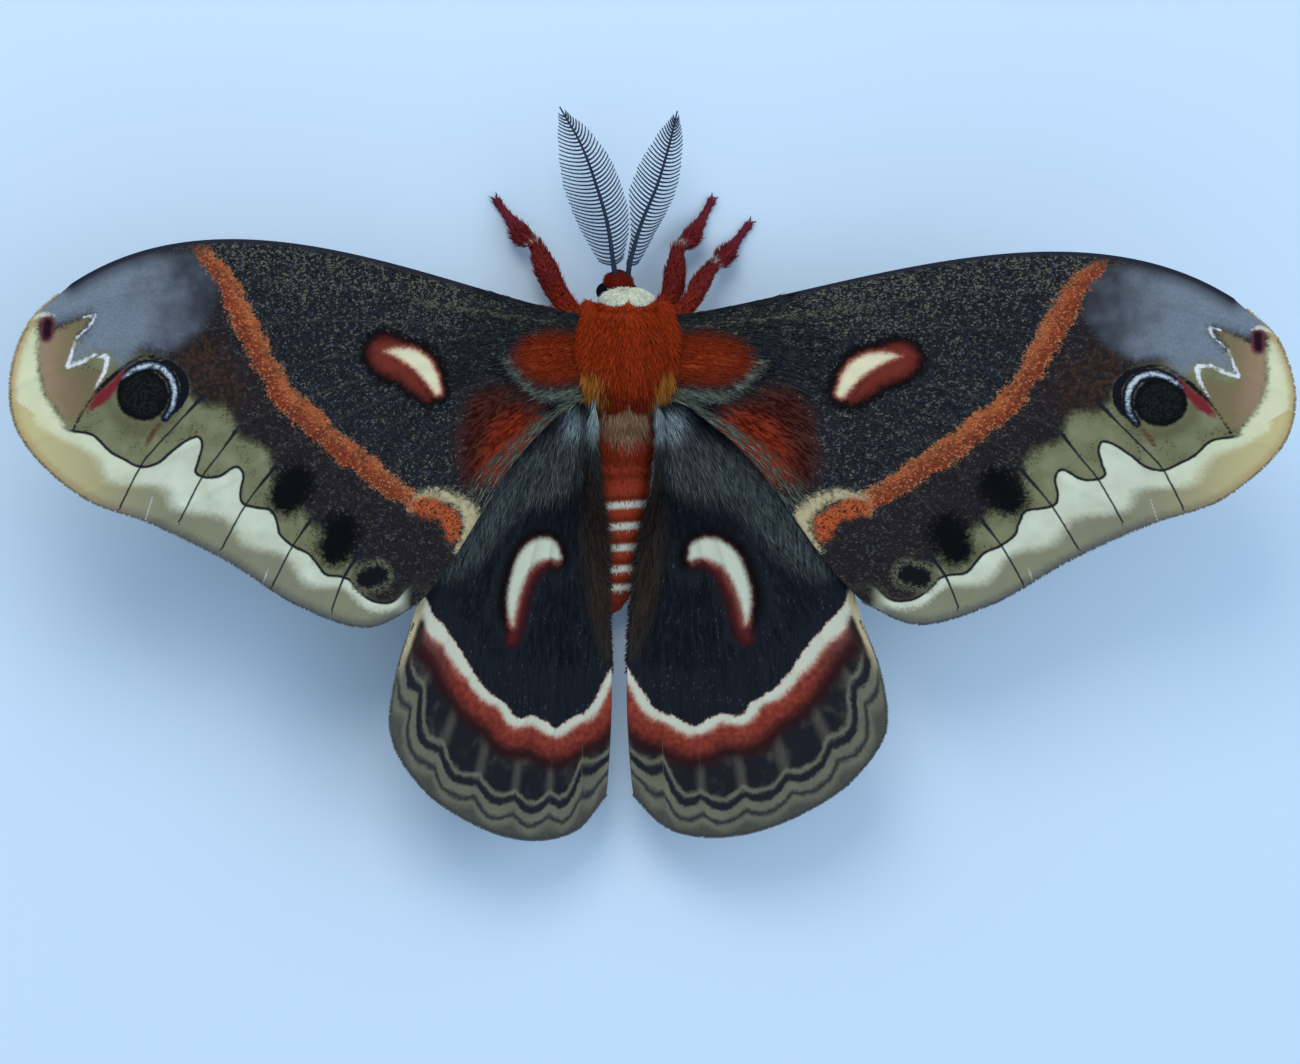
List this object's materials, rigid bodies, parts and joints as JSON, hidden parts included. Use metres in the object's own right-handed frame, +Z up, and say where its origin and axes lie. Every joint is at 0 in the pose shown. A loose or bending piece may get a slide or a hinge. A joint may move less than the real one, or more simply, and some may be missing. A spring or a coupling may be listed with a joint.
{
  "type": "cecropia moth model",
  "caption": "Life-size still model of a feathery-horned cecropia moth resting with its wings spread, standing on its feet.",
  "frame": {"origin": "middle of the footprint of the whole moth, at the level of its feet", "axes": "+X towards the moth's right wing tip, +Y towards its head, +Z up from the floor"},
  "size_m": [0.1382, 0.0782, 0.0294],
  "materials": {
    "fur_rust": "dense rust-red fur",
    "fur_cream": "short cream fur",
    "abdomen_bands": "short fur in rust-red and white rings",
    "forewing_scales": "matt wing scales, near-black brown with a rust band and a cream and tan border",
    "hindwing_scales": "matt wing scales, blue-black with a white crescent and a red band",
    "leg_fur": "short maroon fur",
    "antenna_horn": "dark blue-grey horn",
    "eye": "dark glossy eye"
  },
  "bodies": {
    "root": {"thorax": "fur_rust", "head": "fur_rust", "collar": "fur_cream", "abdomen": "abdomen_bands", "eye_left": "eye", "eye_right": "eye", "antenna_left": "antenna_horn", "antenna_right": "antenna_horn", "forewing_left": "forewing_scales", "forewing_right": "forewing_scales", "hindwing_left": "hindwing_scales", "hindwing_right": "hindwing_scales", "leg_front_left": "leg_fur", "leg_front_right": "leg_fur", "leg_mid_left": "leg_fur", "leg_mid_right": "leg_fur", "leg_hind_left": "leg_fur", "leg_hind_right": "leg_fur"}
  },
  "joints": []
}
